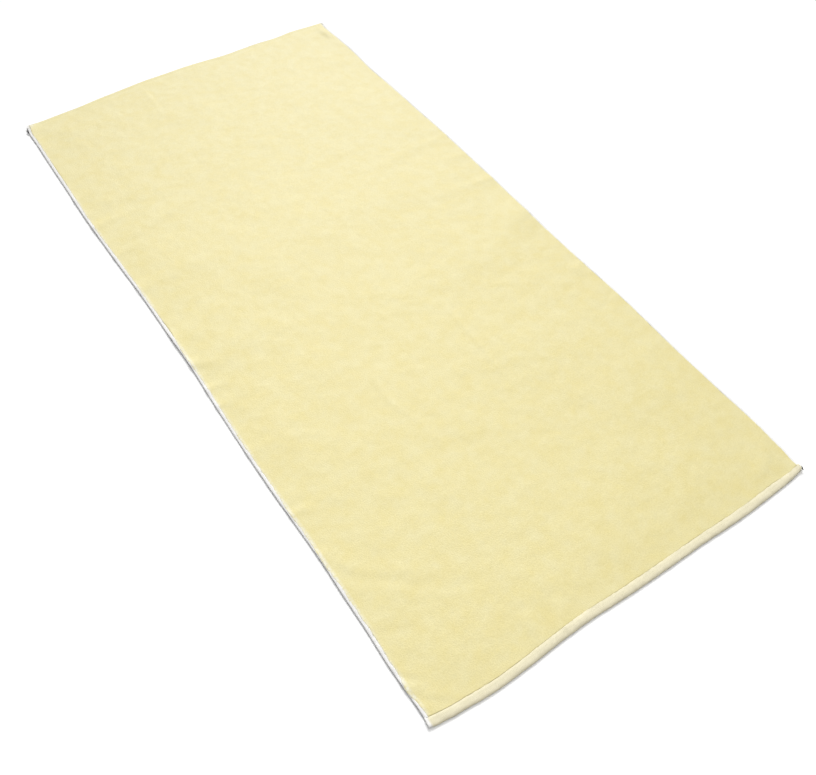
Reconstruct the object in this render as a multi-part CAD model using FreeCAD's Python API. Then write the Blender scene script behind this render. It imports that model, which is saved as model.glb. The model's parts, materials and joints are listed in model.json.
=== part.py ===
import FreeCAD, Part
import math
import os

# Terry beach towel laid flat, all sizes in millimetres.
# +X runs across the width, +Y along the length, +Z up.
# The origin is on the surface that the towel lies on, under its middle.

# Overall sizes
WIDTH = 740.0              # hem end to hem end
LENGTH = 1524.0            # outer fold of one hem to outer fold of the other
HEM_DEPTH = 14.0           # how far each hem reaches in from its outer fold
HEM_OVERHANG = 1.5         # how far the hem ends stand out past the long edges

# Cloth layers, from the surface up
PLY = 0.9                  # one layer of flat-woven cloth, and the ground cloth
PLY_GAP = 0.1              # air between two turned layers of a hem
FACE_PILE = 1.4            # height of the sheared yellow pile
SELVEDGE_WIDTH = 4.5       # flat-woven edge along each long side
SELVEDGE_CROWN = 0.5       # how far the top of a selvedge stays below the face pile

# The far hem is covered by the face pile; the near one is bare flat-woven cloth
FAR_BARE_DEPTH = 5.0       # bare cloth between the far end of the pile and the outer fold
FURROW = 1.0               # width of the furrow that the far seam pulls into the pile
FURROW_END = 2.0           # from each end of that furrow to the pile's long edge

# Lockstitch seam that holds each hem
SEAM_INSET = 2.2           # from the hem's inner fold to the row of stitches
STITCH = 3.5               # stitch length
STITCH_FLOAT = 2.7         # part of a stitch that lies on the cloth
THREAD = 0.36              # thread thickness
THREAD_RISE = 0.12         # how far a stitch arches between its two needle holes
GROOVE = 0.6               # width of the furrow that the thread presses into the hem
GROOVE_DEPTH = 0.5
THREAD_END = 2.0           # from the last stitch to the hem's end
BOBBIN_CLEARANCE = 0.01    # from the surface to the lowest point of the bobbin thread

# Worked out from the sizes above
STEP_UP = PLY + PLY_GAP                          # from one hem layer to the next
BACK_PILE = 2.0 * STEP_UP                        # the looped back is two hem layers high
GROUND_TOP = BACK_PILE + PLY
HEM_HEIGHT = GROUND_TOP
FACE_TOP = GROUND_TOP + FACE_PILE
BODY_WIDTH = WIDTH - 2.0 * HEM_OVERHANG
PILE_WIDTH = BODY_WIDTH - 2.0 * SELVEDGE_WIDTH
HEM_INNER_Y = LENGTH / 2.0 - HEM_DEPTH           # where each hem starts, either way from the middle
SELVEDGE_HEIGHT = FACE_TOP - SELVEDGE_CROWN

AXIS_Z = FreeCAD.Vector(0, 0, 1)


def point(x, y, z):
    return FreeCAD.Vector(x, y, z)


def line(start, end):
    return Part.LineSegment(start, end).toShape()


def arc(start, middle, end):
    return Part.Arc(start, middle, end).toShape()


def extrude(edges, direction):
    """Close a flat outline and extrude it into a solid."""
    return Part.Face(Part.Wire(edges)).extrude(direction)


def layer(bottom, height):
    """One flat layer of the cloth, between the selvedges and between the hems."""
    corner = point(-PILE_WIDTH / 2.0, -HEM_INNER_Y, bottom)
    return Part.makeBox(PILE_WIDTH, 2.0 * HEM_INNER_Y, height, corner)


def face_pile():
    """Sheared pile, from the near hem's inner fold to close to the far hem's outer fold."""
    corner = point(-PILE_WIDTH / 2.0, -HEM_INNER_Y, GROUND_TOP)
    length = HEM_INNER_Y + LENGTH / 2.0 - FAR_BARE_DEPTH
    pile = Part.makeBox(PILE_WIDTH, length, FACE_PILE, corner)
    furrow_length = PILE_WIDTH - 2.0 * FURROW_END
    furrow_y = HEM_INNER_Y + SEAM_INSET - FURROW / 2.0
    furrow = Part.makeBox(furrow_length, FURROW, FACE_PILE,
                          point(-furrow_length / 2.0, furrow_y, GROUND_TOP))
    return pile.cut(furrow)


def selvedge(side):
    """Edge along one long side, flat below and rounded outwards; side is -1 left, +1 right."""
    inner = side * PILE_WIDTH / 2.0
    outer = side * BODY_WIDTH / 2.0
    start_y = -HEM_INNER_Y
    foot = point(outer, start_y, 0.0)
    heel = point(inner, start_y, 0.0)
    crown = point(inner, start_y, SELVEDGE_HEIGHT)
    quarter = math.radians(45.0)
    shoulder_x = inner + (outer - inner) * math.cos(quarter)
    shoulder = point(shoulder_x, start_y, SELVEDGE_HEIGHT * math.sin(quarter))
    edges = [line(foot, heel), line(heel, crown), arc(crown, shoulder, foot)]
    return extrude(edges, point(0, 2.0 * HEM_INNER_Y, 0))


def turned_section(x):
    """Outline of a cloth end turned under twice, seen along X, at the hem on the -Y side.

    The top layer leaves the ground cloth, folds down round the outer edge, runs back
    below as the bottom layer, and folds up again into the middle layer.
    """
    outer_radius = HEM_HEIGHT / 2.0
    inner_radius = outer_radius - PLY
    fold_y = -LENGTH / 2.0 + outer_radius         # centre of the outer fold
    fold_z = outer_radius
    tuck_radius = STEP_UP / 2.0 + PLY / 2.0       # outside radius of the inner fold
    tuck_gap = tuck_radius - PLY
    tuck_y = -HEM_INNER_Y - tuck_radius - PLY_GAP
    tuck_z = tuck_radius
    raw_edge_y = fold_y
    top = HEM_HEIGHT
    middle_top = STEP_UP + PLY

    def at(y, z):
        return point(x, y, z)

    return [
        line(at(-HEM_INNER_Y, top - PLY), at(-HEM_INNER_Y, top)),
        line(at(-HEM_INNER_Y, top), at(fold_y, top)),
        arc(at(fold_y, top), at(fold_y - outer_radius, fold_z), at(fold_y, 0.0)),
        line(at(fold_y, 0.0), at(tuck_y, 0.0)),
        arc(at(tuck_y, 0.0), at(tuck_y + tuck_radius, tuck_z), at(tuck_y, middle_top)),
        line(at(tuck_y, middle_top), at(raw_edge_y, middle_top)),
        line(at(raw_edge_y, middle_top), at(raw_edge_y, STEP_UP)),
        line(at(raw_edge_y, STEP_UP), at(tuck_y, STEP_UP)),
        arc(at(tuck_y, STEP_UP), at(tuck_y + tuck_gap, tuck_z), at(tuck_y, PLY)),
        line(at(tuck_y, PLY), at(fold_y, PLY)),
        arc(at(fold_y, PLY), at(fold_y - inner_radius, fold_z), at(fold_y, top - PLY)),
        line(at(fold_y, top - PLY), at(-HEM_INNER_Y, top - PLY)),
    ]


def seam_y():
    """Where the row of stitches runs, at the hem on the -Y side."""
    return -HEM_INNER_Y - SEAM_INSET


def hem():
    """Hem on the -Y side: the turned cloth, furrowed above and below by its stitches."""
    turned = extrude(turned_section(-WIDTH / 2.0), point(WIDTH, 0, 0))
    groove_corner_y = seam_y() - GROOVE / 2.0
    upper = Part.makeBox(WIDTH, GROOVE, GROOVE_DEPTH,
                         point(-WIDTH / 2.0, groove_corner_y, HEM_HEIGHT - GROOVE_DEPTH))
    lower = Part.makeBox(WIDTH, GROOVE, GROOVE_DEPTH,
                         point(-WIDTH / 2.0, groove_corner_y, 0.0))
    return turned.cut(upper).cut(lower)


def stitched_thread(base_z, rise):
    """One continuous thread along the hem on the -Y side.

    base_z is the underside of the thread at its needle holes, and rise is how far each
    stitch arches above them (negative: below them).
    """
    stitches = int((WIDTH - 2.0 * THREAD_END) / STITCH)
    half_run = stitches * STITCH / 2.0
    y = seam_y() - THREAD / 2.0

    def wave(z):
        """Edges of all the stitches, left to right, at height z: a float, then a hole."""
        edges = []
        for index in range(stitches):
            left = -half_run + index * STITCH
            landing = left + STITCH_FLOAT
            middle = (left + landing) / 2.0
            edges.append(arc(point(left, y, z), point(middle, y, z + rise), point(landing, y, z)))
            edges.append(line(point(landing, y, z), point(left + STITCH, y, z)))
        return edges

    lower = wave(base_z)
    upper = wave(base_z + THREAD)
    left_end = line(point(-half_run, y, base_z), point(-half_run, y, base_z + THREAD))
    right_end = line(point(half_run, y, base_z), point(half_run, y, base_z + THREAD))
    outline = lower + [right_end] + upper[::-1] + [left_end]
    return extrude(Part.__sortEdges__(outline), point(0, THREAD, 0))


def turned_about(shape):
    """The same piece at the other end of the towel."""
    other = shape.copy()
    other.rotate(point(0, 0, 0), AXIS_Z, 180.0)
    return other


os.makedirs("parts", exist_ok=True)

needle_base = HEM_HEIGHT - GROOVE_DEPTH
bobbin_base = THREAD_RISE + BOBBIN_CLEARANCE
near_hem = hem()
near_needle = stitched_thread(needle_base, THREAD_RISE)
near_bobbin = stitched_thread(bobbin_base, -THREAD_RISE)

pieces = {
    "face_pile": face_pile(),
    "ground_cloth": layer(BACK_PILE, PLY),
    "back_pile": layer(0.0, BACK_PILE),
    "left_selvedge": selvedge(-1),
    "right_selvedge": selvedge(1),
    "near_hem": near_hem,
    "near_hem_needle_thread": near_needle,
    "near_hem_bobbin_thread": near_bobbin,
    "far_hem": turned_about(near_hem),
    "far_hem_needle_thread": turned_about(near_needle),
    "far_hem_bobbin_thread": turned_about(near_bobbin),
}

for name, shape in pieces.items():
    shape.exportStep("parts/" + name + ".step")
    print(name, "valid", shape.isValid(), "solids", len(shape.Solids),
          "volume", round(shape.Volume, 1))
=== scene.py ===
import json
import math

import bpy
import numpy as np
from mathutils import Matrix, Vector

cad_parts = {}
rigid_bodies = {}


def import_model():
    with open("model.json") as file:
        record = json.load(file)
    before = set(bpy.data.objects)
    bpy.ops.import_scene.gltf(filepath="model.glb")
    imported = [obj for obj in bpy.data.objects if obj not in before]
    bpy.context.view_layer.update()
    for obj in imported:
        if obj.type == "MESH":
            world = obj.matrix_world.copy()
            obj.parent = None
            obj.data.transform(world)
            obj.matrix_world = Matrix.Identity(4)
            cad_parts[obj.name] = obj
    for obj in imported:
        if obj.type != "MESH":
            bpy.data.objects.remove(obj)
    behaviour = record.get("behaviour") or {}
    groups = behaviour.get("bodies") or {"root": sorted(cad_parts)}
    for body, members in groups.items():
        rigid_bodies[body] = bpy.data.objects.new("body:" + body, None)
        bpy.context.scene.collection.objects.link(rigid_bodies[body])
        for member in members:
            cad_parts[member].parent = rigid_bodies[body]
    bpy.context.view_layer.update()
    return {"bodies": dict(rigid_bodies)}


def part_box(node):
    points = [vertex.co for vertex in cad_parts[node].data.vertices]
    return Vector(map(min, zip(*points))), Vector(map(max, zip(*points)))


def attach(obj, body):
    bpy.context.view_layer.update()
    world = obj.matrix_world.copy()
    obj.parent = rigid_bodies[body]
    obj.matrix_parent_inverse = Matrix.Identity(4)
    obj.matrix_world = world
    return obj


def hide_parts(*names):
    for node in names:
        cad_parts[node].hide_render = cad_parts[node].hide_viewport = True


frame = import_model()

# A terry beach towel laid flat. Every piece is first made flat, in the design's own
# coordinates, and lay() then moves all of them the same way, as one limp cloth lies.

MM = 0.001
BODY = "root" if "root" in frame["bodies"] else list(frame["bodies"])[0]

# ---------------------------------------------------------------- places, from the frame

face_low, face_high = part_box("face_pile")
ground_low, ground_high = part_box("ground_cloth")
back_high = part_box("back_pile")[1]
near_low, near_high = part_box("near_hem")
far_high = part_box("far_hem")[1]

WIDTH = near_high.x - near_low.x
LENGTH = far_high.y - near_low.y
PILE_X = face_high.x                   # long edge of the pile, either way from the middle
NAP_SPREAD = 1.5 * MM                  # how far the nap spreads out at the far end
PILE_FAR_Y = face_high.y + NAP_SPREAD  # far end of the face pile
HEM_Y = ground_high.y                  # inner edge of each hem, either way from the middle
HEM_DEPTH = near_high.y - near_low.y

# ---------------------------------------------------------------- how the cloth lies

# How far each side of the laid towel stands off its straight line, outwards along +X or
# +Y, in millimetres, at places along that side.
LEFT_SIDE = ((-762, -4.4), (-740, -3.6), (-700, -4.1), (-660, -4.5), (-600, -2.4),
             (-530, -1.6), (-480, -0.4), (-400, -1.2), (-320, -2.7), (-200, -2.1), (-100, -0.2),
             (-30, 2.1), (60, 1.2), (190, 0.4), (270, -2.3), (350, -4.2), (430, -5.4),
             (530, -4.0), (620, -3.6), (705, -2.4), (735, -2.7), (750, -0.5), (762, 2.0))
RIGHT_SIDE = ((-762, -2.6), (-740, -2.4), (-722, 0.2), (-690, 1.9), (-650, 3.6),
              (-560, 3.0), (-480, 3.0), (-410, 4.8), (-320, 6.6), (-185, 4.3), (-60, 3.8),
              (70, 6.4), (150, 6.5), (290, 6.0), (366, 3.8), (458, 2.0), (541, -1.0),
              (622, 1.0), (680, -1.0), (728, -4.0), (762, -3.0))
NEAR_SIDE = ((-370, 6.6), (-355, 4.0), (-335, 1.4), (-311, -0.5), (-262, -3.7), (-208, -2.6),
             (-145, 0.6), (-87, 2.1), (-31, 0.0), (60, -1.1), (130, -0.8), (226, -2.3),
             (297, 0.0), (343, 3.2), (370, 7.4))
FAR_SIDE = ((-370, -15.0), (-350, -12.5), (-302, -9.6), (-246, -7.0), (-200, -2.4), (-152, 0.5),
            (-93, 4.4), (-36, 3.8), (3, 4.2), (61, 0.4), (110, -3.8), (150, -3.0), (193, -2.4),
            (240, -5.4), (288, -3.2), (325, -6.0), (350, -8.0), (370, -9.0))

# How far the nap spreads out over the left selvedge, in millimetres, at places along it.
LEFT_SPREAD = ((-762, 0.2), (-740, 0.6), (-716, 3.2), (-700, 4.6), (-682, 1.2), (-640, 0.0),
               (-580, 0.7), (-550, 2.0), (-522, 1.5), (-488, 3.9), (-455, 3.2), (-405, 1.9),
               (-370, 2.8), (-335, 1.1), (-285, 0.2), (-220, 1.5), (-160, 0.5), (-75, 0.8),
               (-40, 2.5), (-5, 3.0), (22, 2.3), (48, -0.7), (105, -0.6), (168, 2.0), (205, 0.7),
               (235, 0.9), (320, -0.4), (355, 0.9), (420, 0.2), (600, -0.6), (680, 0.0),
               (762, -1.5))

# Folds and creases: the half-width of the slope, then (x, y, height) along its crest, all
# in millimetres. A negative height is a valley.
FOLDS = (
    # where the towel was folded in half
    (23, (-370, -10, 1.2), (-200, -38, 0.4), (0, -70, 0.35), (120, -86, 0.4), (250, -80, 0.7),
     (370, -40, 1.6)),
    # puckers from the left edge
    (8, (-372, 392, 2.0), (-340, 391, 1.3), (-300, 391, 0.6), (-250, 392, 0)),
    (10, (-335, 325, 0), (-300, 332, 0.5), (-255, 342, 0.8), (-200, 353, 0.5), (-150, 356, 0)),
    (9, (-372, 484, 1.4), (-350, 488, 0.7), (-300, 496, 0)),
    (10, (-370, 425, 0.6), (-330, 445, 0.7), (-290, 440, 0.3), (-240, 430, 0)),
    (7, (-370, 294, 0.9), (-330, 298, 0.6), (-296, 302, 0)),
    (12, (-370, 192, 1.1), (-330, 194, 0.7), (-280, 198, 0.3), (-235, 202, 0)),
    (20, (-370, 42, 1.4), (-345, 45, 1.1), (-295, 38, 0)),
    (7, (-370, -20, 1.3), (-340, -34, 0.8), (-305, -46, 0)),
    (6, (-370, -86, 1.3), (-345, -88, 0.7), (-318, -90, 0)),
    (6, (-370, -126, 1.1), (-350, -128, 0.6), (-332, -130, 0)),
    (12, (-370, -238, 0.8), (-330, -240, 0.5), (-285, -250, 0)),
    (6, (-370, -376, 1.0), (-345, -376, 0.6), (-308, -378, 0)),
    # creases that turn the near left corner
    (8, (-374, -470, -1.4), (-348, -512, -1.5), (-308, -541, -0.9), (-258, -582, -0.6),
     (-212, -612, -0.4), (-165, -625, 0)),
    (8, (-370, -608, -0.8), (-330, -622, -0.6), (-295, -638, 0)),
    (4.5, (-376, -670, -1.5), (-354, -690, -1.1), (-334, -704, 0)),
    (4.5, (-376, -702, -1.4), (-354, -726, -1.1), (-322, -748, -0.4)),
    # short wrinkles above the near hem
    (8, (-172, -742, 0.9), (-166, -712, 0.9), (-160, -690, 0)),
    (8, (-128, -745, 1.0), (-114, -722, 0.9), (-104, -700, 0)),
    # lengthwise creases
    (4, (-117, -190, 0), (-118, -230, 0.5), (-120, -285, 0.5), (-104, -340, 0.3),
     (-96, -400, 0.4), (-100, -445, 0)),
    (3.5, (81, -130, 0), (81, -190, 0.7), (79, -250, 0.6), (72, -320, 0.3), (70, -365, 0)),
    (3, (101, -220, 0), (100, -260, 0.3), (99, -320, 0)),
    (4, (-100, 745, 0.1), (-103, 700, 0.5), (-106, 650, 0.3), (-108, 615, 0)),
    # puckers from the right edge
    (8, (370, 244, 0.3), (300, 246, 0.5), (230, 242, 0.4), (165, 224, 0)),
    (6, (370, 172, 0.6), (340, 178, 0.5), (285, 187, 0)),
    (8, (372, 80, 0.8), (310, 92, 0.5), (250, 97, 0.4), (190, 104, 0.2), (145, 108, 0)),
    (20, (372, -18, 1.2), (330, -22, 1.0), (285, -30, 0)),
    (7, (372, -203, 1.0), (345, -212, 0.8), (322, -195, 0)),
    (6, (372, -242, 0.7), (347, -228, 0.6), (330, -206, 0)),
    (8, (370, 401, 0.5), (330, 403, 0.4), (295, 406, 0)),
    # creases that turn the near right corner and the far right corner
    (9, (262, -728, 0), (300, -722, 0.7), (330, -708, 0.9), (350, -684, 0.8), (366, -660, 0.4)),
    (6, (350, 748, 0.5), (353, 714, 2.7), (352, 675, 0)),
    (6, (374, 630, 1.0), (352, 660, 0.8), (334, 696, 0)),
)
VALLEY_SIDES = (2.4, 0.9)  # width and height of a valley's raised sides, as shares of its own
SWELL = 0.8 * MM           # height of the broad, low swells
SWELL_SIZES = (210 * MM, 90 * MM)
SWELL_FADE = 90 * MM       # they fade out this far in from the edges
RUFFLE = 0.3 * MM          # height of the small ruffles along the long edges
RUFFLE_FADE = 22 * MM
CURL = 0.5 * MM            # how far the left edge curls up off the floor
CURL_FADE = 7 * MM
CORNER_LIFTS = ((-1, 1, 3.4), (1, -1, 2.0), (-1, -1, 0.3), (1, 1, 0.3))     # side, end, mm
CORNER_FADE = 15 * MM
SETTLING = 0.22 * MM       # how softly the cloth comes to rest where a valley meets the floor
FIELD_STEP = 2.5 * MM      # spacing of the stored height field
MARGIN = 30 * MM           # how far the field runs past the towel

SEAM_IN = 2.2 * MM         # from each hem's inner edge to its stitches
HEM_PULL = 4.0 * MM        # how much narrower the near hem lies at its right end
HEM_PULL_FROM, HEM_PULL_TO = 290 * MM, 366 * MM      # where it sets in, along the hem
HEM_PULL_TAKEN_UP = 70 * MM                          # and where the cloth has taken it up


def noise(x, y, size, seed):
    """Smooth random values from -1 to 1 over a plane, with blobs about size across."""
    cells = 256
    lattice = np.random.default_rng(seed).uniform(-1, 1, (cells, cells))
    turn = 0.6 + seed
    along = (x * math.cos(turn) + y * math.sin(turn)) / size
    across = (y * math.cos(turn) - x * math.sin(turn)) / size
    column, row = np.floor(along).astype(int), np.floor(across).astype(int)
    s, t = along - column, across - row
    s, t = s * s * s * (s * (6 * s - 15) + 10), t * t * t * (t * (6 * t - 15) + 10)
    c0, c1, r0, r1 = column % cells, (column + 1) % cells, row % cells, (row + 1) % cells
    low = lattice[c0, r0] * (1 - s) + lattice[c1, r0] * s
    high = lattice[c0, r1] * (1 - s) + lattice[c1, r1] * s
    return low * (1 - t) + high * t


def smooth_through(knots, at):
    """A smooth curve through (place, value) knots given in millimetres, in metres."""
    x, y = np.array(knots, float).T * MM
    slope = np.gradient(y, x)
    i = np.clip(np.searchsorted(x, at) - 1, 0, len(x) - 2)
    span = x[i + 1] - x[i]
    t = np.clip((at - x[i]) / span, 0, 1)
    start = (1 + 2 * t) * (1 - t) ** 2 * y[i] + t * (1 - t) ** 2 * span * slope[i]
    end = t * t * (3 - 2 * t) * y[i + 1] + t * t * (t - 1) * span * slope[i + 1]
    return start + end


def fold_height(x, y, half_width, crest):
    """Height of one fold: a smooth bump across its crest, as high as the crest says.

    The floor stops a valley from sinking, so its two sides rise beside it instead.
    """
    best = np.full(x.shape, np.inf)
    height = np.zeros(x.shape)
    points = np.array(crest, float) * MM
    for (ax, ay, ah), (bx, by, bh) in zip(points[:-1], points[1:]):
        dx, dy = bx - ax, by - ay
        t = np.clip(((x - ax) * dx + (y - ay) * dy) / (dx * dx + dy * dy), 0, 1)
        away = np.hypot(x - ax - t * dx, y - ay - t * dy)
        nearer = away < best
        eased = t * t * (3 - 2 * t)
        height = np.where(nearer, ah + (bh - ah) * eased, height)
        best = np.minimum(best, away)
    wider, share = VALLEY_SIDES
    ridge = np.exp(-0.5 * (best / (half_width * MM)) ** 2)
    shoulders = np.exp(-0.5 * (best / (wider * half_width * MM)) ** 2)
    return np.where(height < 0, height * (ridge - share * shoulders), height * ridge)


def ease(value, start, end):
    """A smooth step: 0 up to start, 1 from end on."""
    t = np.clip((value - start) / (end - start), 0, 1)
    return t * t * (3 - 2 * t)


def corner_lift(x, y):
    """How far the corners of the towel stand up off the floor."""
    lift = 0 * x
    for side, end, height in CORNER_LIFTS:
        away = np.hypot(x - side * WIDTH / 2, y - end * LENGTH / 2)
        lift = lift + height * MM * np.exp(-0.5 * (away / CORNER_FADE) ** 2)
    return lift


def height_field():
    """How high the cloth's underside is off the floor, on a grid, and the grid's places."""
    xs = np.arange(-WIDTH / 2 - MARGIN, WIDTH / 2 + MARGIN, FIELD_STEP)
    ys = np.arange(-LENGTH / 2 - MARGIN, LENGTH / 2 + MARGIN, FIELD_STEP)
    x, y = np.meshgrid(xs, ys, indexing="ij")
    from_side = WIDTH / 2 - np.abs(x)
    from_end = LENGTH / 2 - np.abs(y)
    inside = ease(np.minimum(from_side, from_end), 0.0, SWELL_FADE)
    broad, narrow = SWELL_SIZES
    height = SWELL * (0.9 + noise(x, y, broad, 3) + 0.5 * noise(x, y, narrow, 4)) * inside
    near_edge = np.exp(-np.maximum(from_side, 0) / RUFFLE_FADE)
    ruffle = noise(x * 0.15, y, 17 * MM, 5) + 0.6 * noise(x * 0.15, y, 34 * MM, 6)
    height += RUFFLE * near_edge * ruffle
    for half_width, *crest in FOLDS:
        height += fold_height(x, y, half_width, crest)
    height += corner_lift(x, y)
    curl = CURL * (1 + 0.6 * noise(x * 0.1, y, 60 * MM, 7)) * np.exp(
        -((x + WIDTH / 2) / CURL_FADE) ** 2)
    height += np.where(x < 0, curl, 0.4 * curl[::-1])
    return SETTLING * np.logaddexp(0, height / SETTLING), xs, ys


FIELD, FIELD_X, FIELD_Y = height_field()


def lift_at(x, y):
    """The height field at any places, by bilinear interpolation."""
    u = np.clip((x - FIELD_X[0]) / FIELD_STEP, 0, len(FIELD_X) - 1.001)
    v = np.clip((y - FIELD_Y[0]) / FIELD_STEP, 0, len(FIELD_Y) - 1.001)
    i, j = u.astype(int), v.astype(int)
    s, t = u - i, v - j
    low = FIELD[i, j] * (1 - s) + FIELD[i + 1, j] * s
    high = FIELD[i, j + 1] * (1 - s) + FIELD[i + 1, j + 1] * s
    return low * (1 - t) + high * t


def lay(points):
    """Moves points of the flat towel to where they lie. points is an array of (x, y, z)."""
    x, y, z = points[:, 0], points[:, 1], points[:, 2]
    across = np.clip(0.5 + x / WIDTH, 0, 1)
    along = np.clip(0.5 + y / LENGTH, 0, 1)
    left, right = smooth_through(LEFT_SIDE, y), smooth_through(RIGHT_SIDE, y)
    near, far = smooth_through(NEAR_SIDE, x), smooth_through(FAR_SIDE, x)
    moved_x = x + left * (1 - across) + right * across
    moved_y = y + near * (1 - along) ** 2 + far * along ** 2
    # The near hem is pulled narrower towards its right end.
    from_end = y + LENGTH / 2
    moved_y -= HEM_PULL * ease(x, HEM_PULL_FROM, HEM_PULL_TO) * ease(
        from_end, 0, HEM_DEPTH) * (1 - ease(from_end, HEM_DEPTH, HEM_PULL_TAKEN_UP))
    return np.stack([moved_x, moved_y, z + lift_at(x, y)], axis=1)


# ---------------------------------------------------------------- mesh helpers

def add(name, data):
    """A new object that holds the data, in the scene."""
    made = bpy.data.objects.new(name, data)
    bpy.context.scene.collection.objects.link(made)
    return made


def new_piece(name, points, faces, material, second_colour=None):
    """A mesh object of the flat points, laid, with its material.

    second_colour gives, from 0 to 1 at each flat point, how much of its second colour shows.
    """
    mesh = bpy.data.meshes.new(name)
    mesh.from_pydata(lay(points).tolist(), [], faces)
    mesh.polygons.foreach_set("use_smooth", [True] * len(mesh.polygons))
    mesh.materials.append(material)
    if second_colour is not None:
        layer = mesh.attributes.new("second_colour", "FLOAT", "POINT")
        layer.data.foreach_set("value", second_colour(*points.T))
    return add(name, mesh)


def swept(sections):
    """Points and faces of a solid swept through sections: an array (stations, around, 3)."""
    stations, around, _ = sections.shape
    first = np.arange(stations - 1)[:, None] * around
    here, after = np.arange(around), (np.arange(around) + 1) % around
    quads = np.stack([first + here, first + after, first + around + after,
                      first + around + here], axis=-1).reshape(-1, 4)
    faces = quads.tolist()
    faces.append(list(range(around))[::-1])
    faces.append(list(range((stations - 1) * around, stations * around)))
    return sections.reshape(-1, 3), faces


HIDDEN_CELLS = 4           # a hidden side has one face for this many cells, each way


def slab(xs, ys, top, bottom, coarse):
    """Points and faces of a closed layer over the grid xs by ys.

    top and bottom give the height at (x, y). The side named by coarse, "top" or "bottom",
    is hidden, so its faces are larger.
    """
    x, y = np.meshgrid(xs, ys, indexing="ij")
    columns, rows = len(xs), len(ys)
    upper = np.stack([x, y, top(x, y)], axis=-1).reshape(-1, 3)
    lower = np.stack([x, y, bottom(x, y)], axis=-1).reshape(-1, 3)
    number = np.arange(columns * rows).reshape(columns, rows)

    def fine(grid, flip):
        quads = np.stack([grid[:-1, :-1], grid[1:, :-1], grid[1:, 1:], grid[:-1, 1:]], axis=-1)
        quads = quads.reshape(-1, 4)
        return (quads[:, ::-1] if flip else quads).tolist()

    def large(grid, flip):
        """Faces several cells wide, whose edges along the rim keep every point of the rim."""
        cuts_x = list(range(0, columns - 1, HIDDEN_CELLS)) + [columns - 1]
        cuts_y = list(range(0, rows - 1, HIDDEN_CELLS)) + [rows - 1]
        made = []
        for i0, i1 in zip(cuts_x[:-1], cuts_x[1:]):
            for j0, j1 in zip(cuts_y[:-1], cuts_y[1:]):
                south = grid[i0:i1, j0] if j0 == 0 else grid[i0:i0 + 1, j0]
                east = grid[i1, j0:j1] if i1 == columns - 1 else grid[i1, j0:j0 + 1]
                north = grid[i1:i0:-1, j1] if j1 == rows - 1 else grid[i1:i1 + 1, j1]
                west = grid[i0, j1:j0:-1] if i0 == 0 else grid[i0, j1:j1 + 1]
                ring = np.concatenate([south, east, north, west]).tolist()
                made.append(ring[::-1] if flip else ring)
        return made

    shift = columns * rows
    faces = (large if coarse == "top" else fine)(number, False)
    faces += (large if coarse == "bottom" else fine)(number + shift, True)
    rim = np.concatenate([number[:-1, 0], number[-1, :-1], number[:0:-1, -1], number[0, :0:-1]])
    after = np.roll(rim, -1)
    faces += np.stack([rim, rim + shift, after + shift, after], axis=-1).tolist()
    points = np.concatenate([upper, lower])
    used = np.unique(np.concatenate([np.asarray(face) for face in faces]))
    renumber = np.zeros(len(points), int)
    renumber[used] = np.arange(len(used))
    return points[used], [renumber[face].tolist() for face in faces]


def grid_lines(start, end, step, rim):
    """Places from start to end about step apart, with the extra places of rim at each end."""
    count = max(2, round((end - start - 2 * rim[-1]) / step))
    middle = np.linspace(start + rim[-1], end - rim[-1], count + 1)
    return np.concatenate([[start + r for r in rim[:-1]], middle, [end - r for r in rim[-2::-1]]])


# ---------------------------------------------------------------- materials

def material(name):
    """A new material: its node tree, its Principled shader, and a maker of linked nodes."""
    made = bpy.data.materials.new(name)
    made.use_nodes = True
    tree = made.node_tree
    shader = tree.nodes["Principled BSDF"]

    def node(kind, **inputs):
        n = tree.nodes.new(kind)
        for key, value in inputs.items():
            socket = n.inputs[key.replace("_", " ")]
            if isinstance(value, bpy.types.NodeSocket):
                tree.links.new(value, socket)
            else:
                socket.default_value = value
        return n

    return made, tree, shader, node


def math_node(node, operation, a, b):
    """The output of a Math node, whose inputs may be numbers or sockets."""
    n = node("ShaderNodeMath")
    n.operation = operation
    for socket, value in zip(n.inputs, (a, b)):
        if isinstance(value, bpy.types.NodeSocket):
            n.id_data.links.new(value, socket)
        else:
            socket.default_value = value
    return n.outputs[0]


def noise_node(node, place, size, detail=2.0, roughness=0.5):
    """The factor output of a noise texture whose blobs are about size metres across."""
    n = node("ShaderNodeTexNoise", Vector=place, Scale=1.0 / size, Detail=detail,
             Roughness=roughness)
    return n.outputs["Fac"]


def blend_colours(tree, factor, low, high):
    """A colour from low to high as factor goes from 0 to 1."""
    n = tree.nodes.new("ShaderNodeMix")
    n.data_type = "RGBA"
    tree.links.new(factor, n.inputs["Factor"])
    for socket, value in ((n.inputs[6], low), (n.inputs[7], high)):
        if isinstance(value, bpy.types.NodeSocket):
            tree.links.new(value, socket)
        else:
            socket.default_value = (*value, 1.0)
    return n.outputs[2]


def spread_to_unit(tree, value, low, high):
    """value mapped so that low gives 0 and high gives 1, and kept in that range."""
    n = tree.nodes.new("ShaderNodeMapRange")
    tree.links.new(value, n.inputs["Value"])
    n.inputs["From Min"].default_value = low
    n.inputs["From Max"].default_value = high
    return n.outputs["Result"]


def bump(tree, height, distance, strength, under=None):
    """A normal that height bends, on top of the normal under it."""
    n = tree.nodes.new("ShaderNodeBump")
    n.inputs["Distance"].default_value = distance
    n.inputs["Strength"].default_value = strength
    tree.links.new(height, n.inputs["Height"])
    if under is not None:
        tree.links.new(under, n.inputs["Normal"])
    return n.outputs["Normal"]


def second_colour_node(node):
    """How much of the second colour shows, from 0 to 1, as the mesh stores it."""
    stored = node("ShaderNodeAttribute")
    stored.attribute_name = "second_colour"
    return stored.outputs["Fac"]


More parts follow.
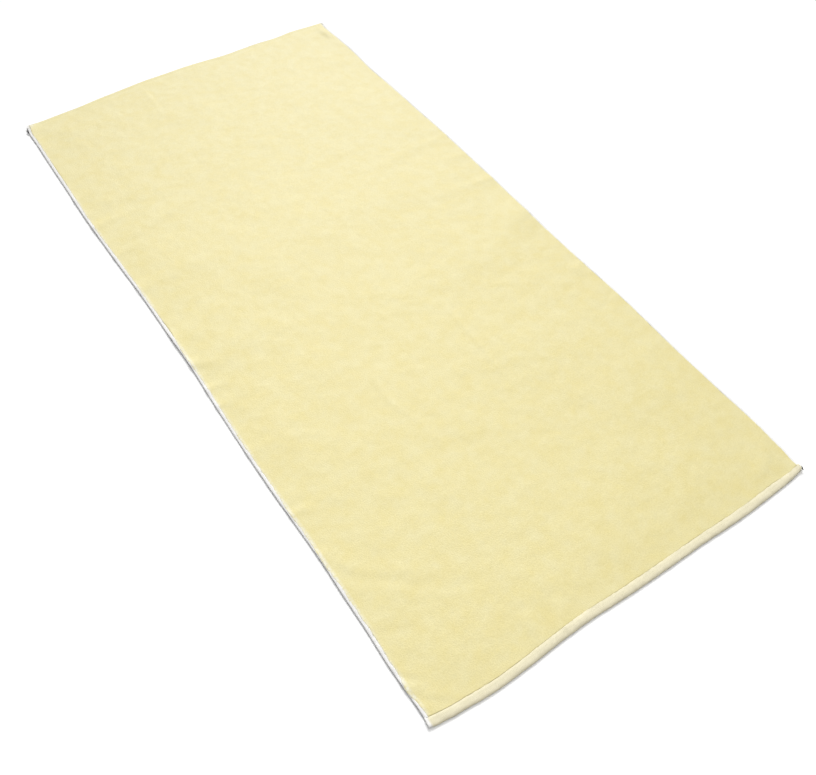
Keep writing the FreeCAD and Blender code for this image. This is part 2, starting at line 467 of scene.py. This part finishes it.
def matte(shader, roughness, specular, sheen):
    """How rough the cloth is, and how much its fibres catch the light at grazing angles."""
    shader.inputs["Roughness"].default_value = roughness
    shader.inputs["Specular IOR Level"].default_value = specular
    shader.inputs["Sheen Weight"].default_value = sheen


def velour():
    """Sheared cotton pile: matte, soft at grazing angles, mottled where the nap leans, with
    painted shade in its fine grain.
    """
    made, tree, shader, node = material("yellow_velour")
    place = node("ShaderNodeTexCoord").outputs["Object"]
    lean = spread_to_unit(tree, noise_node(node, place, 26 * MM, 4.0, 0.6), 0.3, 0.7)
    tufts = spread_to_unit(tree, noise_node(node, place, 2.1 * MM, 2.0, 0.6), 0.3, 0.7)
    fibres = noise_node(node, place, 0.55 * MM, 2.0, 0.6)
    tone = blend_colours(tree, lean, VELOUR_DARK, VELOUR_LIGHT)
    patchy = spread_to_unit(tree, noise_node(node, place, 3.5 * MM, 2.0, 0.6), 0.25, 0.6)
    paler = math_node(node, "MULTIPLY", second_colour_node(node), patchy)
    tone = blend_colours(tree, paler, tone, PALE_EDGE)
    # Painted shade in the pile's fine grain: the colour darkens towards a dark yellow where the
    # tufts noise is high.
    tips = math_node(node, "MULTIPLY", tufts, GRAIN_SHADE_SHARE)
    tree.links.new(blend_colours(tree, tips, tone, PILE_GRAIN_SHADE), shader.inputs["Base Color"])
    grain = bump(tree, tufts, 0.35 * MM, 0.5)
    tree.links.new(bump(tree, fibres, 0.12 * MM, 0.5, grain), shader.inputs["Normal"])
    matte(shader, 0.6, 0.66, 0.11)
    shader.inputs["Sheen Roughness"].default_value = 0.5
    shader.inputs["Sheen Tint"].default_value = (1.0, 0.97, 0.85, 1.0)
    return made


def woven(name, light, dark, pitch, second=None):
    """Flat-woven cotton: yarns that cross, pitch apart, as ribs along X and Y.

    Where the mesh says so, the colour goes from light and dark to the second one.
    """
    made, tree, shader, node = material(name)
    place = node("ShaderNodeTexCoord").outputs["Object"]
    split = node("ShaderNodeSeparateXYZ", Vector=place)
    wobble = noise_node(node, place, 4 * MM)
    waves = []
    for axis in ("X", "Y"):
        turns = math_node(node, "MULTIPLY", split.outputs[axis], 2 * math.pi / pitch)
        turns = math_node(node, "ADD", turns, math_node(node, "MULTIPLY", wobble, 5.0))
        waves.append(math_node(node, "SINE", turns, 0.0))
    yarns = math_node(node, "ADD", waves[0], waves[1])
    yarns = spread_to_unit(tree, yarns, -1.6, 1.6)
    patches = spread_to_unit(tree, noise_node(node, place, 9 * MM, 3.0), 0.3, 0.7)
    mixed = math_node(node, "ADD", math_node(node, "MULTIPLY", yarns, 0.6),
                      math_node(node, "MULTIPLY", patches, 0.4))
    colour = blend_colours(tree, mixed, dark, light)
    if second is not None:
        colour = blend_colours(tree, second_colour_node(node), colour, second)
    tree.links.new(colour, shader.inputs["Base Color"])
    coarse = bump(tree, yarns, 0.22 * MM, 0.6)
    fuzz = noise_node(node, place, 0.4 * MM, 2.0, 0.6)
    tree.links.new(bump(tree, fuzz, 0.1 * MM, 0.5, coarse), shader.inputs["Normal"])
    matte(shader, 0.9, 0.2, 0.08)
    return made


def loops():
    """Looped cotton pile: rows of rounded loops, with painted shade in the gaps between them."""
    made, tree, shader, node = material("white_loops")
    place = node("ShaderNodeTexCoord").outputs["Object"]
    cells = node("ShaderNodeTexVoronoi", Vector=place, Scale=1.0 / (2.4 * MM), Randomness=0.75)
    round_tops = spread_to_unit(tree, cells.outputs["Distance"], 0.75, 0.0)
    twist = noise_node(node, place, 0.6 * MM, 2.0, 0.6)
    patches = spread_to_unit(tree, noise_node(node, place, 22 * MM, 3.0), 0.3, 0.7)
    mixed = math_node(node, "ADD", math_node(node, "MULTIPLY", round_tops, 0.75),
                      math_node(node, "MULTIPLY", patches, 0.25))
    tree.links.new(blend_colours(tree, mixed, LOOP_DARK, LOOP_LIGHT), shader.inputs["Base Color"])
    high = bump(tree, round_tops, 0.9 * MM, 0.8)
    tree.links.new(bump(tree, twist, 0.15 * MM, 0.5, high), shader.inputs["Normal"])
    matte(shader, 0.95, 0.15, 0.1)
    return made


# Colours, in linear light. A pair is a yarn in the light, then in the shade of the next yarn.
VELOUR_LIGHT, VELOUR_DARK = (0.719, 0.652, 0.343), (0.699, 0.612, 0.269)
# Painted shade in the velour's fine grain, mixed in up to the share below.
PILE_GRAIN_SHADE = (0.36, 0.29, 0.09)
GRAIN_SHADE_SHARE = 0.19
PALE_EDGE = (0.78, 0.76, 0.62)
LOOP_LIGHT, LOOP_DARK = (0.84, 0.83, 0.80), (0.60, 0.58, 0.54)
CREAM_HEM = (0.79, 0.735, 0.54), (0.72, 0.665, 0.46)
# The far hem's cloth is the near hem's cloth, painted greyer and darker as shade along the far
# edge.
SHADED_GREY_HEM = (0.66, 0.63, 0.54), (0.59, 0.57, 0.47)
# Painted shade on the selvedge's lower outer side, below its white top.
SHADED_SIDE = (0.27, 0.26, 0.25), (0.19, 0.18, 0.17)
GROUND = (0.82, 0.80, 0.75), (0.68, 0.65, 0.58)
BEIGE_THREAD = (0.80, 0.73, 0.50), (0.62, 0.55, 0.36)
WHITE_YARN = (0.86, 0.85, 0.83)
# Near black: painted shadow at two corners of the hems, carried by the tails.
TAIL_PAINTED_SHADOW = (0.06, 0.06, 0.06)
# How far apart the yarns of each weave are.
HEM_RIB, SELVEDGE_RIB, GROUND_RIB, THREAD_RIB = 0.75 * MM, 0.8 * MM, 0.7 * MM, 0.35 * MM

velour_material = velour()
hem_material = woven("cream_hem_weave", *CREAM_HEM, HEM_RIB, WHITE_YARN)
# The far hem's material is a darker copy of the hem cloth, with painted shade in its colour.
far_hem_material = woven("shaded_grey_hem_weave", *SHADED_GREY_HEM, HEM_RIB, WHITE_YARN)
selvedge_material = woven("white_selvedge_weave", *SHADED_SIDE, SELVEDGE_RIB, WHITE_YARN)
ground_material = woven("white_ground_weave", *GROUND, GROUND_RIB)
loop_material = loops()
thread_material = woven("beige_thread", *BEIGE_THREAD, THREAD_RIB, TAIL_PAINTED_SHADOW)

# ---------------------------------------------------------------- the cloth

CELL = 3.6 * MM            # grid spacing of the visible pile
INNER_CELL = 9 * MM        # and of the ground cloth, which is hidden
SPREAD_FADE = 14 * MM      # how far in from the left edge its spread fades out
RIM = [0.0, 0.35 * MM, 0.9 * MM, 1.7 * MM, 2.8 * MM]     # closer lines where the pile rolls over
PILE_ROLL = 1.3 * MM       # radius of the pile's rounded edge
END_ROLL = 0.5 * MM        # and of its ends, at the hems
FURROW = 0.2 * MM          # how deep the far seam sinks into the pile
FURROW_WIDTH = 1.0 * MM
# Reliefs, each as layers of (height, size, seed), in millimetres.
NAP = ((0.22, 30, 11), (0.13, 14, 12), (0.11, 8, 13), (0.07, 5, 14))
RAGGED_EDGE = ((0.6, 4, 15), (0.5, 9, 16))
LOOPS = ((0.09, 9, 21), (0.07, 5, 22))
LOOP_BASE = 0.16           # how high the loops' mean stands off the floor, in millimetres
# How far white fibres reach into the pile: from its left edge, from its right edge, how much
# that varies, and around the far left corner, where all of them and then none are white.
WHITE_LEFT, WHITE_RIGHT, WHITE_VARIES = 3.8 * MM, 2.6 * MM, 1.6 * MM
WHITE_CORNER = (4 * MM, 15 * MM)


def relief(x, y, layers, base=0):
    """Random ups and downs around base."""
    return MM * sum((height * noise(x, y, size * MM, seed) for height, size, seed in layers),
                    base)


def rolled(distance, radius):
    """How far a rounded edge drops, distance in from the edge."""
    short = np.clip(radius - distance, 0, radius)
    return radius - np.sqrt(radius * radius - short * short)


def face_top(x, y):
    """Height of the sheared pile, with its rounded, slightly ragged edges and the far seam."""
    ragged = relief(x, y, RAGGED_EDGE)
    sides = rolled(np.maximum(PILE_X - np.abs(x) + ragged, 0), PILE_ROLL)
    ends = rolled(np.maximum(np.minimum(PILE_FAR_Y - y, HEM_Y + y) + ragged, 0), END_ROLL)
    furrow = np.exp(-0.5 * ((y - HEM_Y - SEAM_IN) / FURROW_WIDTH) ** 2)
    return face_high.z + relief(x, y, NAP) - np.maximum(sides, ends) - FURROW * furrow


def face_whiteness(x, y, z):
    """White fibres mix into the pile along its long edges and at the far left corner."""
    corner = np.hypot(x + PILE_X, y - PILE_FAR_Y)
    reach = np.where(x < 0, WHITE_LEFT, WHITE_RIGHT) + WHITE_VARIES * noise(
        0.2 * x, y, 45 * MM, 17)
    return np.maximum(1 - ease((PILE_X - np.abs(x)) / reach, 0.0, 1.0),
                      1 - ease(corner, *WHITE_CORNER))


def tufts(roots, leans, width, seed):
    """Points and faces of small pointed tufts: one from each root to root + lean."""
    rng = np.random.default_rng(seed)
    count = len(roots)
    tips = roots + leans * rng.uniform(0.4, 1.3, (count, 1)) + rng.uniform(
        -0.5, 0.5, (count, 3)) * width
    turn = rng.uniform(0, math.pi, (count, 1)) + np.arange(4)[None, :] * math.pi / 2
    ring = np.stack([np.cos(turn), np.sin(turn), 0 * turn], axis=-1) * width / 2
    points = np.concatenate([roots[:, None, :] + ring, tips[:, None, :]], axis=1).reshape(-1, 3)
    faces = []
    for i in range(0, 5 * count, 5):
        faces += [(i, i + 1, i + 4), (i + 1, i + 2, i + 4), (i + 2, i + 3, i + 4),
                  (i + 3, i, i + 4), (i + 3, i + 2, i + 1, i)]
    return points, faces


def joined(*parts):
    """Points and faces of several parts as one."""
    points, faces, start = [], [], 0
    for part_points, part_faces in parts:
        points.append(part_points)
        faces += [[start + corner for corner in face] for face in part_faces]
        start += len(part_points)
    return np.concatenate(points), faces


def row(start, end, step, seed):
    """Places from start to end, unevenly about step apart."""
    rng = np.random.default_rng(seed)
    even = np.arange(start, end, step)
    return even + rng.uniform(-0.4, 0.4, len(even)) * step


# The fringes: how far apart the tufts stand, how they lean, and how wide they are.
PILE_TUFTS = (1.7 * MM, np.array([0, -1.0, 0.2]) * MM, 1.0 * MM)
SELVEDGE_TUFTS = (1.3 * MM, np.array([1.0, 0, 0.45]) * MM, 0.9 * MM)
SELVEDGE_TUFT_ROOT = (0.5 * MM, 3.6 * MM)     # outwards from the pile, and up


def pile_fringe():
    """Short yellow tufts that lean out over the near hem."""
    step, lean, width = PILE_TUFTS
    x = row(-PILE_X, PILE_X, step, 54)
    root = np.stack([x, 0 * x - HEM_Y + 0.5 * MM, 0 * x + face_high.z - 0.6 * MM], axis=-1)
    return tufts(root, lean, width, 64)


def selvedge_fringe(side):
    """White loops that stand up between the pile and the selvedge."""
    step, lean, width = SELVEDGE_TUFTS
    out, up = SELVEDGE_TUFT_ROOT
    y = row(-HEM_Y, HEM_Y, step, 71 + side)
    root = np.stack([side * (PILE_X + out) + 0 * y, y, 0 * y + up], axis=-1)
    return tufts(root, lean * (-side, 1, 1), width, 81 + side)


def cloth_layers():
    """The yellow face, the ground cloth and the looped back, one on the other."""
    xs = grid_lines(-PILE_X, PILE_X, CELL, RIM)
    ys = grid_lines(-HEM_Y, HEM_Y, CELL, RIM)
    seam_lines = HEM_Y + SEAM_IN + np.array([-1.5, -0.7, 0.0, 0.7, 1.5]) * MM
    face_ys = np.concatenate([ys[:-len(RIM)], seam_lines, PILE_FAR_Y - np.array(RIM[::-1])])
    points, faces = slab(xs, face_ys, face_top, lambda x, y: face_low.z + 0 * x, "bottom")
    spread = smooth_through(LEFT_SPREAD, points[:, 1])
    points[:, 0] -= spread * (1 - ease(points[:, 0] + PILE_X, 0.0, SPREAD_FADE))
    face = new_piece("velour_face", *joined((points, faces), pile_fringe()), velour_material,
                     face_whiteness)
    back = new_piece("looped_back", *slab(xs, ys, lambda x, y: back_high.z + 0 * x,
                                          lambda x, y: relief(x, y, LOOPS, LOOP_BASE), "top"),
                     loop_material)
    wide = grid_lines(-PILE_X, PILE_X, INNER_CELL, [0.0, 4 * MM])
    long = grid_lines(-HEM_Y, HEM_Y, INNER_CELL, [0.0, 4 * MM])
    inner = new_piece("ground_weave", *slab(wide, long, lambda x, y: ground_high.z + 0 * x,
                                            lambda x, y: ground_low.z + 0 * x, "bottom"),
                      ground_material)
    return face, inner, back


SELVEDGE_STEP = 1.7 * MM
# The selvedge's section in millimetres: outwards from the pile's edge, then up.
SELVEDGE_SECTION = ((-0.8, 0.3), (1.0, 0.2), (2.6, 0.3), (3.7, 0.6), (4.3, 1.1), (4.5, 1.8),
                    (4.4, 2.5), (4.0, 3.1), (3.3, 3.6), (2.4, 3.8), (1.5, 3.9), (0.4, 4.0),
                    (-0.8, 4.0))
SELVEDGE_WHITE = (0.93, 1.4 * MM, 2.9 * MM)     # how white its top is, and from where to where
SELVEDGE_END = 0.5 * MM    # how far it runs on into the hems


def selvedge_whiteness(x, y, z):
    """White on top, and painted shade, dark grey, lower down on the outer side."""
    most, low, high = SELVEDGE_WHITE
    return most * ease(z, low, high)


def selvedge(name, side):
    """White flat-woven edge, beaded where each weft yarn turns back; side is -1 or +1."""
    stations = np.arange(-HEM_Y - SELVEDGE_END, HEM_Y + SELVEDGE_END, SELVEDGE_STEP)
    section = np.array(SELVEDGE_SECTION) * MM
    middle = section.mean(axis=0)
    out = section[None, :, 0] + 0 * stations[:, None]
    up = section[None, :, 1] + 0 * stations[:, None]
    along = stations[:, None] + 0 * out
    beads = 1 + 0.07 * noise(along, out * 3 + side, 2.6 * MM, 31) + 0.05 * noise(
        along, out + side, 11 * MM, 32)
    out = middle[0] + (out - middle[0]) * beads
    up = np.maximum(middle[1] + (up - middle[1]) * beads, 0.02 * MM)
    sections = np.stack([side * (PILE_X + out), along, up], axis=-1)
    if side > 0:
        sections = sections[:, ::-1]
    return new_piece(name, *joined(swept(sections), selvedge_fringe(side)), selvedge_material,
                     selvedge_whiteness)


# ---------------------------------------------------------------- the hems

STITCH = 3.5 * MM
PLY = 0.8 * MM             # thickness of the hem's cloth
HEM_STEP = STITCH / 2
TOP_PLY = (1.5 * MM, 2.3 * MM)          # lower plies end and the top one starts between these
SEAM_WIDTH = 0.8 * MM
PILE_GAP = 0.2             # depth of the gap between roll and pile, as a share of the roll's rise
# How far the ends of a hem stop short of its full width, as (depth, short) in millimetres.
HEM_END = ((0, 1.0), (8, 0.3), (14, 0.0))
NEAR_RIGHT_END = ((0, 3.0), (5, 1.6), (14, 3.0))
END_REACH = 16 * MM        # and how far in from the ends the cloth gives way to that
WHITE_ENDS = (5.0 * MM, 2.5 * MM)       # width of the white at its left and its right end
# Height of each hem's top, and how far in from its outer fold the top starts to round over.
NEAR_ROLL = (4.7 * MM, 6.5 * MM)       # a plump roll of bare cloth
FAR_ROLL = (far_high.z - 0.05 * MM, 1.8 * MM)       # flat under the pile


def turned_path(top, shoulder):
    """The middle line of the cloth turned under twice, as (depth, height) from the inner edge."""
    level = near_high.z - PLY / 2      # where the ground cloth's middle line runs
    crown, bottom = top - PLY / 2, 0.45 * MM
    middle = min(1.9 * MM, top / 2)
    outer = HEM_DEPTH - PLY / 2
    rounding, under = shoulder - PLY / 2, 1.2 * (middle - bottom)
    tuck, tuck_radius = 1.6 * MM, 0.48 * MM
    upper = [(d, level + (crown - level) * float(ease(d, -5.0 * MM, 3.2 * MM)))
             for d in np.linspace(-0.9 * MM, outer - rounding, 17)]
    over = [(outer - rounding * (1 - math.sin(a)), middle + (crown - middle) * math.cos(a))
            for a in np.linspace(0, math.pi / 2, 10)[1:]]
    below = [(outer - under * (1 - math.sin(a)), middle + (middle - bottom) * math.cos(a))
             for a in np.linspace(math.pi / 2, math.pi, 7)[1:-1]]
    lower = [(d, bottom) for d in np.linspace(outer - under, tuck, 11)]
    back = [(tuck - tuck_radius * math.sin(a), bottom + tuck_radius * (1 - math.cos(a)))
            for a in np.linspace(0, math.pi, 6)[1:-1]]
    raw_edge = HEM_DEPTH - 2.6 * MM
    inside = [(d, bottom + 2 * tuck_radius) for d in np.linspace(tuck, raw_edge, 8)]
    return np.array(upper + over + below + lower + back + inside)


def plies(path):
    """The outline of the cloth that follows a path: its upper side, then its lower side back."""
    direction = np.gradient(path, axis=0)
    direction /= np.linalg.norm(direction, axis=1)[:, None]
    normal = np.stack([-direction[:, 1], direction[:, 0]], axis=1)
    return np.concatenate([path + normal * PLY / 2, (path - normal * PLY / 2)[::-1]])


def hem_whiteness(x, y, z):
    """The ends of a hem are the towel's white selvedges, turned with it."""
    white = np.where(x < 0, *WHITE_ENDS)
    return 0.95 * ease(np.abs(x), WIDTH / 2 - white - 1.6 * MM, WIDTH / 2 - white + 1.2 * MM)


def sewn_height(x, depth, height, over, plump):
    """The hem's height once it is sewn down; over is 1 on its top ply and 0 on the others."""
    share = np.clip(depth / HEM_DEPTH, 0, 1)
    # A roll is uneven along its length and thins out towards its open ends.
    ripple = 0.2 * noise(x + 0.4 * depth, depth * 0.3, 7 * MM, 41) + 0.2 * noise(
        x, depth * 0.2, 24 * MM, 42)
    thin = 0.45 * (1 - ease(WIDTH / 2 - np.abs(x), 0.0, 35 * MM))
    height = height + over * plump * MM * (ripple - thin) * np.sin(math.pi * share)
    # The stitches pull the top and bottom layers together along the seam.
    holes = 0.5 + 0.5 * np.cos(2 * math.pi * x / STITCH)
    seam = np.exp(-0.5 * ((depth - SEAM_IN) / SEAM_WIDTH) ** 2)
    height = height - over * seam * MM * (0.1 + 0.15 * holes)
    # Towards its left end the roll stands clear of the pile, and a narrow gap shows.
    gap = np.exp(-(depth / (1.3 * MM)) ** 2) * (1 - ease(x, -300 * MM, -120 * MM))
    height = height - over * gap * PILE_GAP * plump * MM
    return np.maximum(height + (1 - over) * seam * 0.2 * MM, 0.03 * MM)


def shortened(x, depth, end):
    """x where the open ends of a hem, which are not cut square, stop short."""
    right_end = NEAR_RIGHT_END if end < 0 else HEM_END
    short = np.where(x > 0, np.interp(depth / MM, *zip(*right_end)),
                     np.interp(depth / MM, *zip(*HEM_END))) * MM
    return x - np.sign(x) * short * ease(np.abs(x), WIDTH / 2 - END_REACH, WIDTH / 2)


def hem(name, end, roll, cloth):
    """A hem across the towel: end is -1 for the near one and +1 for the far one."""
    outline = plies(turned_path(*roll))
    xs = np.arange(-WIDTH / 2, WIDTH / 2 + HEM_STEP / 2, HEM_STEP)
    depth = outline[None, :, 0] + 0 * xs[:, None]
    height = outline[None, :, 1] + 0 * xs[:, None]
    x = xs[:, None] + 0 * depth
    over = ease(height, *TOP_PLY)
    height = sewn_height(x, depth, height, over, (roll[0] - near_high.z) / MM)
    # The outer fold does not run quite straight.
    waver = 0.25 * MM * noise(x, 0 * x, 13 * MM, 43 + end)
    depth = depth + waver * ease(np.clip(depth / HEM_DEPTH, 0, 1), 0.5, 1.0)
    # Where a corner lifts, the turned layers stay down and the open end gapes.
    height = height - (1 - over) * 0.85 * corner_lift(x, end * (HEM_Y + depth))
    x = shortened(x, depth, end)
    sections = np.stack([x, end * (HEM_Y + depth), height], axis=-1)
    if end < 0:
        sections = sections[:, ::-1]
    return new_piece(name, *swept(sections), cloth, hem_whiteness)


# ---------------------------------------------------------------- the sewing threads

THREAD = 0.19 * MM         # radius of the sewing thread
THREAD_STEP = 0.35 * MM
THREAD_TWIST = 1.3 * MM    # length of one full turn of its two plies
FLOATING = 0.77            # share of a stitch that lies on the cloth before it dips in
# Near-black tails of painted shadow at two corners, shaped as thick loose ends, each as start,
# bend and tip in millimetres.
TAILS = {"near_needle_stitches": ((366, -764, 2.0), (366, -762, 4.0), (365.5, -757.5, 8.4)),
         "far_needle_stitches": ((-369.5, 741, 2.4), (-369.5, 748, 1.2), (-369.3, 751, 6.4)),
         "far_bobbin_stitches": ((-370, 741, 2.0), (-369.5, 748, 1.2), (-374, 750, 1.2))}
TAIL = 1.05 * MM           # radius of a loose end where it starts
TAIL_TAPER = 0.6           # share of that radius it has lost at its tip
AROUND = 8                 # points around a thread


def painted_shadow_tail(start, bend, tip):
    """Points and faces of a near-black tail of painted shadow, shaped as a loose end that tapers
    to its tip.
    """
    t = np.linspace(0, 1, 14)[:, None]
    line = MM * (np.array(start) * (1 - t) ** 2 + 2 * np.array(bend) * t * (1 - t)
                 + np.array(tip) * t ** 2)
    along = np.gradient(line, axis=0)
    side = np.cross(along, (0, 0, 1))
    up = np.cross(along, side)
    side /= np.linalg.norm(side, axis=1)[:, None]
    up /= np.linalg.norm(up, axis=1)[:, None]
    angle = np.linspace(0, 2 * math.pi, AROUND, endpoint=False)[None, :, None]
    radius = TAIL * (1 - TAIL_TAPER * t[:, :, None])
    return swept(line[:, None, :] + radius * (np.cos(angle) * side[:, None, :]
                                              + np.sin(angle) * up[:, None, :]))


def stitch_height(s, end, upper):
    """Height of a thread at s along its seam: it floats on the cloth, then dips into it."""
    phase = (s / STITCH) % 1.0
    arch = np.where(phase < FLOATING, np.sin(math.pi * phase / FLOATING), 0.0)
    dip = np.where(phase > FLOATING, np.sin(math.pi * (phase - FLOATING) / (1 - FLOATING)), 0.0)
    if upper:
        seam_top = near_high.z if end > 0 else near_high.z + 0.9 * MM
        return seam_top - 0.2 * MM + 0.12 * MM * arch - 0.6 * MM * dip
    return 0.24 * MM - 0.03 * MM * arch + 0.45 * MM * dip


def thread(name, end, upper):
    """A seam's needle thread, on the face, or its bobbin thread, on the back."""
    half = WIDTH / 2 - 2 * MM
    s = np.arange(-half, half, THREAD_STEP)
    z = stitch_height(s, end, upper)
    y = end * (HEM_Y + SEAM_IN + 0.12 * MM * np.sin(2 * math.pi * s / (2.7 * STITCH)))
    angle = np.linspace(0, 2 * math.pi, AROUND, endpoint=False)[None, :]
    lobes = 1 + 0.22 * np.cos(2 * (angle - 2 * math.pi * s[:, None] / THREAD_TWIST))
    radius = THREAD * lobes
    sections = np.stack([s[:, None] + 0 * radius, y[:, None] + radius * np.cos(angle),
                         z[:, None] + radius * np.sin(angle)], axis=-1)
    sections[:, :, 2] = np.maximum(sections[:, :, 2], 0.01 * MM)
    stitches = swept(sections)
    parts = [stitches] + ([painted_shadow_tail(*TAILS[name])] if name in TAILS else [])
    points, faces = joined(*parts)
    # The tails take the second colour, near black: painted shadow at two corners, not thread.
    in_tail = np.arange(len(points)) >= len(stitches[0])
    return new_piece(name, points, faces, thread_material, lambda x, y, z: 1.0 * in_tail)


# ---------------------------------------------------------------- building the towel

velour_face, ground_weave, looped_back = cloth_layers()
left_edge = selvedge("left_woven_edge", -1)
right_edge = selvedge("right_woven_edge", 1)
near_fold = hem("near_folded_hem", -1, NEAR_ROLL, hem_material)
far_fold = hem("far_folded_hem", 1, FAR_ROLL, far_hem_material)
near_needle = thread("near_needle_stitches", -1, True)
near_bobbin = thread("near_bobbin_stitches", -1, False)
far_needle = thread("far_needle_stitches", 1, True)
far_bobbin = thread("far_bobbin_stitches", 1, False)

STANDS_FOR = (
    (velour_face, "face_pile", "face_velour"),
    (ground_weave, "ground_cloth", "ground_weave"),
    (looped_back, "back_pile", "back_loops"),
    (left_edge, "left_selvedge", "selvedge_weave"),
    (right_edge, "right_selvedge", "selvedge_weave"),
    (near_fold, "near_hem", "hem_cloth"),
    (far_fold, "far_hem", "hem_cloth"),
    (near_needle, "near_hem_needle_thread", "sewing_thread"),
    (near_bobbin, "near_hem_bobbin_thread", "sewing_thread"),
    (far_needle, "far_hem_needle_thread", "sewing_thread"),
    (far_bobbin, "far_hem_bobbin_thread", "sewing_thread"),
)
for piece, node_name, slot_name in STANDS_FOR:
    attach(piece, BODY)
    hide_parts(node_name)

# ---------------------------------------------------------------- floor, lights, camera


FLOOR_REACH = 30.0
DOME_REACH, DOME_STEPS, DOME_RINGS = 28.0, 48, 12
DOME_GLOW = 0.86


def floor():
    """A large plain pale floor."""
    mesh = bpy.data.meshes.new("floor")
    reach = FLOOR_REACH
    mesh.from_pydata([(-reach, -reach, 0), (reach, -reach, 0), (reach, reach, 0),
                      (-reach, reach, 0)], [], [(0, 1, 2, 3)])
    pale, _, shader, _ = material("pale_floor")
    shader.inputs["Base Color"].default_value = (0.97, 0.97, 0.97, 1.0)
    shader.inputs["Roughness"].default_value = 0.9
    shader.inputs["Specular IOR Level"].default_value = 0.1
    mesh.materials.append(pale)
    add("floor", mesh)


def backdrop():
    """A pale dome far away, which closes off the view above the floor and casts no light."""
    mesh = bpy.data.meshes.new("backdrop")
    reach, steps, rings = DOME_REACH, DOME_STEPS, DOME_RINGS
    points = [(reach * math.cos(rise) * math.cos(turn), reach * math.cos(rise) * math.sin(turn),
               reach * math.sin(rise) - 0.5)
              for rise in np.linspace(0, math.pi / 2 - 0.05, rings)
              for turn in np.linspace(0, 2 * math.pi, steps, endpoint=False)]
    faces = [(r * steps + i, r * steps + (i + 1) % steps, (r + 1) * steps + (i + 1) % steps,
              (r + 1) * steps + i) for r in range(rings - 1) for i in range(steps)]
    faces.append(tuple(range((rings - 1) * steps, rings * steps)))
    mesh.from_pydata(points, [], faces)
    pale, _, shader, _ = material("pale_backdrop")
    shader.inputs["Base Color"].default_value = (0.0, 0.0, 0.0, 1.0)
    shader.inputs["Specular IOR Level"].default_value = 0.0
    shader.inputs["Emission Color"].default_value = (1.0, 1.0, 1.0, 1.0)
    shader.inputs["Emission Strength"].default_value = DOME_GLOW
    mesh.materials.append(pale)
    dome = add("backdrop", mesh)
    dome.visible_diffuse = False
    dome.visible_glossy = False
    dome.visible_transmission = False
    dome.visible_shadow = False


def area_light(name, place, aim, size, power):
    """A round soft light at place, turned towards aim; power in watts."""
    data = bpy.data.lights.new(name, "AREA")
    data.shape = "DISK"
    data.size = size
    data.energy = power
    lamp = add(name, data)
    lamp.location = place
    lamp.rotation_euler = (Vector(aim) - Vector(place)).to_track_quat("-Z", "Y").to_euler()


SUN_SPREAD = 26            # how broad the sun looks, in degrees, for soft shadows


def far_sun(name, azimuth, elevation, strength):
    """A broad soft sun; azimuth, from +Y towards +X, and elevation are in degrees."""
    data = bpy.data.lights.new(name, "SUN")
    data.energy = strength
    data.angle = math.radians(SUN_SPREAD)
    lamp = add(name, data)
    turn, rise = math.radians(azimuth), math.radians(elevation)
    towards = Vector((math.sin(turn) * math.cos(rise), math.cos(turn) * math.cos(rise),
                      math.sin(rise)))
    lamp.rotation_euler = towards.to_track_quat("Z", "Y").to_euler()


def surroundings(strength):
    """Even white light from all around."""
    world = bpy.data.worlds.new("soft_white")
    world.use_nodes = True
    background = world.node_tree.nodes["Background"]
    background.inputs["Color"].default_value = (1.0, 1.0, 1.0, 1.0)
    background.inputs["Strength"].default_value = strength
    bpy.context.scene.world = world


CAMERA_AZIMUTH = math.radians(-36.02)
CAMERA_ELEVATION = math.radians(53.23)
CAMERA_ROLL = math.radians(2.24)
CAMERA_DISTANCE = 1.5835
CAMERA_AIM = Vector((-0.0763, -0.2670, 0.0))
LENS = 40.84


def camera():
    """The photographer stands off the near left corner and looks down along the towel."""
    back = Vector((math.sin(CAMERA_AZIMUTH) * math.cos(CAMERA_ELEVATION),
                   -math.cos(CAMERA_AZIMUTH) * math.cos(CAMERA_ELEVATION),
                   math.sin(CAMERA_ELEVATION)))
    data = bpy.data.cameras.new("camera")
    data.lens = LENS
    data.sensor_width = 36.0
    made = add("camera", data)
    level = (-back).to_track_quat("-Z", "Y").to_matrix().to_4x4()
    turned = level @ Matrix.Rotation(CAMERA_ROLL, 4, "Z")
    made.matrix_world = Matrix.Translation(CAMERA_AIM + back * CAMERA_DISTANCE) @ turned
    bpy.context.scene.camera = made


floor()
backdrop()
surroundings(0.28)
far_sun("far_key", 30, 36, 3.23)
area_light("overhead", (-0.22, -0.45, 2.4), (0.0, -0.1, 0.0), 1.7, 21.9)
camera()
bpy.context.scene.view_settings.view_transform = "Standard"
